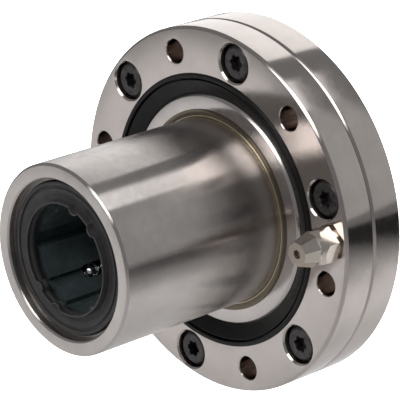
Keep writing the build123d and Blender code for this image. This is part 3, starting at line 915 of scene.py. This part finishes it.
class BUSHING_OT_wipers(Operator):
    """Makes the wiper seals and the snap rings that hold them"""

    bl_idname = "bushing.wipers"
    bl_label = "Wiper seals and snap rings"

    def execute(self, context):
        sizes = context.scene.bushing_sizes
        outer = RECESS_R - WIPER_GAP
        rim = RECESS_R - RIM_GAP
        profile = soften([
            (WIPER_BACK_R, RECESS_DEPTH, 0.1),
            (outer, RECESS_DEPTH, 0.1),
            (outer, WIPER_BASE, 0.05),
            (rim, WIPER_BASE, 0.05),
            (rim, 1.3, 0.16),
            (rim - 0.7, 1.3, 0.16),
            (rim - 0.7, 1.7, 0.05),
            (rim - 1.2, 1.7, 0.05),
            (rim - 1.2, 1.35, 0.12),
            (LIP_R + 1.1, 1.95, 0.40),
            (LIP_R + 0.45, 1.95, 0.10),
            (LIP_R + 0.38, 0.60, 0.12),
            (LIP_R, 0.60, 0.12),
            (LIP_R, 0.80, 0.05),
            (LIP_R + 0.16, 1.10, 0.10),
            (LIP_R + 0.16, 1.45, 0.10),
            (LIP_R, 1.80, 0.05),
            (LIP_R, 2.30, 0.10),
            (LIP_R + 0.4, 2.30, 0.10),
            (WIPER_BACK_R, WIPER_BASE, 0.10),
        ], 0.1)
        for name, end, inward in (("nose_wiper_seal", NOSE_Y, 1), ("rear_wiper_seal", REAR_Y, -1)):
            section = [(radius, end + inward * depth) for radius, depth in profile]
            mesh = smooth(turned(name + "_fine", section, 2 * sizes.segments, self.opening), 35.0)
            finish_piece(name + "_fine", mesh, "sleeve", "wiper_rubber", name)
        for name in ("nose_snap_ring", "rear_snap_ring"):
            mesh = copy_of(name, name + "_fine")
            finish_piece(name + "_fine", mesh, "sleeve", "spring_steel", name)
        return {"FINISHED"}

    def opening(self, radius, turn):
        """A radius near the lip, drawn inwards where a tongue fills a groove of the shaft."""
        follow = min(1.0, max(0.0, (OPENING_R - radius) / OPENING_FADE))
        edge = LIP_R
        for load in LOAD_ANGLES:
            off = (turn - radians(load) + pi) % (2 * pi) - pi
            side = TONGUE_AT * sin(off)
            if abs(off) < 0.3 and abs(side) < TONGUE_R:
                tongue = TONGUE_AT * cos(off) - sqrt(TONGUE_R ** 2 - side ** 2)
                mix = max(0.0, TONGUE_BLEND - abs(edge - tongue)) / TONGUE_BLEND
                edge = min(edge, tongue) - TONGUE_BLEND / 4 * mix ** 2
        return radius + follow * (edge - LIP_R)


class BUSHING_OT_retainer(Operator):
    """Makes the ball retainer, its load plates and the balls of the four circuits"""

    bl_idname = "bushing.retainer"
    bl_label = "Retainer and balls"

    def execute(self, context):
        sizes = context.scene.bushing_sizes
        mesh = copy_of("ball_retainer", "retainer_fine")
        finish_piece("retainer_fine", mesh, "sleeve", "retainer_resin", "ball_retainer")
        tree, sockets = circuit_tree()
        values = {"Radius": sizes.ball / 2, "Material": finish_of("ball_steel")}
        for number, (load, give_back) in enumerate(zip(LOAD_ANGLES, RETURN_ANGLES), start=1):
            mesh = copy_of(f"load_plate_{number}", f"plate_{number}")
            finish_piece(f"plate_{number}", mesh, "sleeve", "plate_steel", f"load_plate_{number}")
            node = f"ball_circuit_{number}"
            dots = bpy.data.meshes.new(node + "_centres")
            dots.from_pydata(self.circuit(node, load, give_back, sizes.ball), [], [])
            mesh = through_tree(new_object(node + "_centres", dots), tree, sockets, values, f"balls_{number}")
            finish_piece(f"balls_{number}", mesh, "sleeve", "ball_steel", node)
        return {"FINISHED"}

    def circuit(self, node, load, give_back, ball):
        """Ball centres: a loaded row with a ball at each end, and the way back beside it."""
        half = ball / 2 / MM
        first, last = front(node) + half, back(node) - half
        row = [at(LOAD_PATH_R, load, first), at(LOAD_PATH_R, load, last)]
        way = []
        for y, there, here in ((last, load, give_back), (first, give_back, load)):
            for step in range(BEND_STEPS + 1):
                t = step / BEND_STEPS
                out = t if there == load else 1 - t
                radius = LOAD_PATH_R + (RETURN_PATH_R - LOAD_PATH_R) * min(1.0, 2.5 * out)
                way.append(at(radius, there + (here - there) * t, y))
        return self.spaced(row, ball) + self.spaced(way, ball)[1:-1]

    def spaced(self, path, ball):
        """Evenly spaced points from end to end of a path, at least a ball apart."""
        lengths = [(b - a).length for a, b in zip(path, path[1:])]
        count = int(sum(lengths) / (ball + BALL_GAP * MM))
        points = []
        for number in range(count + 1):
            left = sum(lengths) * number / count
            i = 0
            while i < len(lengths) - 1 and left > lengths[i]:
                left -= lengths[i]
                i += 1
            points.append(path[i].lerp(path[i + 1], min(1.0, left / lengths[i])))
        return points


class BUSHING_OT_rollers(Operator):
    """Makes the crossed rollers and their cage"""

    bl_idname = "bushing.rollers"
    bl_label = "Rollers and cage"

    def execute(self, context):
        radius = context.scene.bushing_sizes.roller / 2 / MM
        half = radius - 0.1
        section = soften([(0.0, -half), (radius, -half), (radius, half), (0.0, half)], 0.2)
        for name, tilt, start in (
            ("rollers_facing_nose", 45.0, 0.0),
            ("rollers_facing_rear", -45.0, 2 * pi / ROLLERS),
        ):
            mesh = smooth(turned(name, section, 48))
            lean = Matrix.Rotation(radians(tilt), 4, "Z")
            moved(mesh, Matrix.Translation(at(PITCH_R, 0.0, SPLIT_Y)) @ lean)
            mesh = repeat_round(name + "_fine", mesh, ROLLERS // 2, start, "ball_steel")
            finish_piece(name + "_fine", mesh, "rollers", "ball_steel", name)
        mesh = copy_of("roller_cage", "cage_fine")
        finish_piece("cage_fine", mesh, "rollers", "cage_brass", "roller_cage")
        return {"FINISHED"}


class BUSHING_OT_nipple(Operator):
    """Makes the grease nipple, its check ball and its spring"""

    bl_idname = "bushing.nipple"
    bl_label = "Grease nipple"

    def execute(self, context):
        seat = at(BOLT_CIRCLE_R, NIPPLE_ANGLE, 0.0)
        mesh = copy_of("grease_nipple", "nipple_fine", 15.0)
        # Painted shade on the walls of the nipple's mouth and bore
        mark_hole_shade(mesh, [seat], NIPPLE_BORE_R)
        finish_piece("nipple_fine", mesh, "flange", "nipple_plating", "grease_nipple")
        # The check ball takes the darker spring steel as painted shade, for the ball that sits in the shade
        # of the nipple's mouth
        mesh = copy_of("nipple_check_ball", "check_ball_fine", 60.0)
        finish_piece("check_ball_fine", mesh, "check_ball", "spring_steel", "nipple_check_ball")
        mesh = copy_of("nipple_spring", "spring_fine", 60.0)
        piece = finish_piece("spring_fine", mesh, None, "spring_steel", "nipple_spring")
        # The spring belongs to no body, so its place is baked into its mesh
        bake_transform(piece)
        return {"FINISHED"}


# Stage, in metres and watts

FLOOR_Z = -0.2
FLOOR_REACH = 4.0
DISH = ((1.4, 0.0), (1.8, 0.04), (2.1, 0.15), (2.3, 0.35), (2.4, 0.65), (2.4, 3.0))
DISH_LIFT = 0.001
DISH_STEPS = 64
CARD_LEFT = 0.10
CARD_RIGHT = 0.60
CARD_Y = 0.285
CARD_TOP = -0.047
CARD_FADE = 0.09

# Name, place, facing, size, power, and whether the steel mirrors the light
LIGHTS = (
    ("back_left_softbox", (-0.63, 0.62, 0.43), (0.0, -1.0, 0.0), (0.83, 1.02), 2.88, True),
    ("back_right_softbox", (0.68, 0.62, 0.43), (0.0, -1.0, 0.0), (0.76, 0.94), 0.61, True),
    ("key_softbox", (0.128, -0.56, 0.552), (-0.16, 0.70, -0.69), (0.5, 0.3), 1.54, True),
    ("top_strip", (0.08, 0.10, 0.25), (0.0, 0.0, -1.0), (0.10, 0.12), 0.05, True),
    ("front_softbox", (-0.6, -0.7, 0.35), (0.6, 0.7, -0.5), (0.5, 0.5), 0.5, False),
    ("front_floor_light", (-0.42, -0.40, 0.0), (0.0, 0.0, -1.0), (0.40, 0.40), 0.33, False),
    ("left_floor_light", (-0.44, 0.42, -0.02), (0.0, 0.0, -1.0), (0.38, 0.36), 2.2, False),
    ("right_floor_light", (0.16, 0.22, -0.06), (0.0, 0.0, -1.0), (0.16, 0.16), 0.14, False),
)


class BUSHING_OT_stage(Operator):
    """Sets the floor, the soft lights and the camera"""

    bl_idname = "bushing.stage"
    bl_label = "Stage"

    def execute(self, context):
        scene = context.scene
        stage = scene.bushing_stage
        colours = scene.bushing_colours
        self.floor(colours.floor)
        self.backdrop(colours.floor)

        world = bpy.data.worlds.new("studio")
        world.use_nodes = True
        shade = world.node_tree.nodes["Background"]
        shade.inputs["Color"].default_value = (0.97, 0.98, 1.0, 1.0)
        shade.inputs["Strength"].default_value = stage.ambient
        scene.world = world

        for name, place, facing, size, power, mirrored in LIGHTS:
            self.area(name, place, Vector(facing), size, power, mirrored)
        self.card(colours.card, colours.floor)

        data = bpy.data.cameras.new("camera")
        data.sensor_width = 36.0
        data.lens = stage.lens
        data.shift_x = stage.shift_x
        data.shift_y = stage.shift_y
        data.clip_start = 0.01
        data.clip_end = 50.0
        camera = new_object("camera", data)
        turn, lift = radians(stage.azimuth), radians(stage.elevation)
        towards = Vector((sin(turn) * cos(lift), -cos(turn) * cos(lift), sin(lift)))
        target = Vector((0.0, FACE_Y * MM, 0.0))
        camera.location = target + towards * stage.distance
        camera.rotation_euler = towards.to_track_quat("Z", "Y").to_euler()
        scene.camera = camera
        scene.view_settings.view_transform = "Standard"
        return {"FINISHED"}

    def sheet(self, name, corners, faces, paint):
        """A painted object of the stage."""
        mesh = bpy.data.meshes.new(name)
        mesh.from_pydata(corners, [], faces)
        mesh.materials.append(paint.material)
        thing = new_object(name, mesh)
        return thing

    def floor(self, base):
        """The flat floor that the steel mirrors and that throws light up at the piece."""
        low, high = -FLOOR_REACH, FLOOR_REACH
        corners = [(low, low, FLOOR_Z), (high, low, FLOOR_Z), (high, high, FLOOR_Z), (low, high, FLOOR_Z)]
        paint = Finish("floor_paint", base, roughness=0.9)
        floor = self.sheet("floor", corners, [(0, 1, 2, 3)], paint)
        floor.visible_camera = False

    def backdrop(self, base):
        """The pale dish with upturned sides that a camera sees behind the piece."""
        corners = []
        for wide, rise in DISH:
            for step in range(DISH_STEPS):
                turn = 2 * pi * step / DISH_STEPS
                corners.append((wide * cos(turn), wide * sin(turn), FLOOR_Z + DISH_LIFT + rise))
        faces = [tuple(range(DISH_STEPS))]
        for row in range(len(DISH) - 1):
            for step in range(DISH_STEPS):
                start = row * DISH_STEPS + step
                after = row * DISH_STEPS + (step + 1) % DISH_STEPS
                faces.append((start, start + DISH_STEPS, after + DISH_STEPS, after))
        paint = Finish("backdrop_paint", base, roughness=0.9)
        paint.shader.inputs["Emission Color"].default_value = (1.0, 1.0, 1.0, 1.0)
        paint.shader.inputs["Emission Strength"].default_value = 0.75
        paint.material.cycles.emission_sampling = "NONE"
        backdrop = self.sheet("backdrop", corners, faces, paint)
        backdrop.data.shade_smooth()
        backdrop.visible_diffuse = False
        backdrop.visible_glossy = False
        backdrop.visible_transmission = False
        backdrop.visible_shadow = False

    def card(self, base, foot):
        """An upright dark card, painted shade that ground steel mirrors as its dark band; its paler foot is a
        painted fade from the lit floor up into that shade.
        """
        corners = [(CARD_LEFT, CARD_Y, FLOOR_Z), (CARD_RIGHT, CARD_Y, FLOOR_Z),
                   (CARD_RIGHT, CARD_Y, CARD_TOP), (CARD_LEFT, CARD_Y, CARD_TOP)]
        paint = Finish("low_dark_card", base, roughness=0.9)
        height = paint.tree.nodes.new("ShaderNodeSeparateXYZ")
        paint.link(paint.where, height.inputs["Vector"])
        # Painted fade from the floor's pale colour at the foot up to the dark
        paint.tint(height.outputs["Z"], foot, base, FLOOR_Z, FLOOR_Z + CARD_FADE)
        card = self.sheet("low_dark_card", corners, [(0, 1, 2, 3)], paint)
        card.visible_camera = False

    def area(self, name, place, facing, size, power, mirrored):
        """A soft rectangular light."""
        data = bpy.data.lights.new(name, "AREA")
        data.shape = "RECTANGLE"
        data.size, data.size_y = size
        data.energy = power
        lamp = new_object(name, data)
        lamp.location = place
        lamp.rotation_euler = (-facing).to_track_quat("Z", "Y").to_euler()
        lamp.visible_camera = False
        lamp.visible_glossy = mirrored


class BUSHING_PT_panel(Panel):
    """Lists the pieces of the bushing"""

    bl_idname = "BUSHING_PT_panel"
    bl_label = "Bushing"
    bl_space_type = "VIEW_3D"
    bl_region_type = "UI"
    bl_category = "Bushing"

    def draw(self, context):
        column = self.layout.column()
        for operator in OPERATORS:
            column.operator(operator.bl_idname)
        scene = context.scene
        for group in (scene.bushing_sizes, scene.bushing_colours, scene.bushing_stage):
            box = self.layout.box()
            for name in group.bl_rna.properties.keys():
                if name not in ("rna_type", "name"):
                    box.prop(group, name)


OPERATORS = (
    BUSHING_OT_outer_rings,
    BUSHING_OT_screws,
    BUSHING_OT_bearing_seals,
    BUSHING_OT_inner_ring,
    BUSHING_OT_sleeve,
    BUSHING_OT_wipers,
    BUSHING_OT_retainer,
    BUSHING_OT_rollers,
    BUSHING_OT_nipple,
    BUSHING_OT_stage,
)
CLASSES = (BushingSizes, BushingColours, BushingStage) + OPERATORS + (BUSHING_PT_panel,)


def register():
    """Adds the classes and the scene's properties."""
    for item in CLASSES:
        bpy.utils.register_class(item)
    bpy.types.Scene.bushing_sizes = PointerProperty(type=BushingSizes)
    bpy.types.Scene.bushing_colours = PointerProperty(type=BushingColours)
    bpy.types.Scene.bushing_stage = PointerProperty(type=BushingStage)


def unregister():
    """Takes them away again."""
    del bpy.types.Scene.bushing_stage
    del bpy.types.Scene.bushing_colours
    del bpy.types.Scene.bushing_sizes
    for item in reversed(CLASSES):
        bpy.utils.unregister_class(item)


def main():
    """Makes every piece."""
    register()
    for operator in OPERATORS:
        group, name = operator.bl_idname.split(".")
        getattr(getattr(bpy.ops, group), name)()


if __name__ == "__main__":
    main()
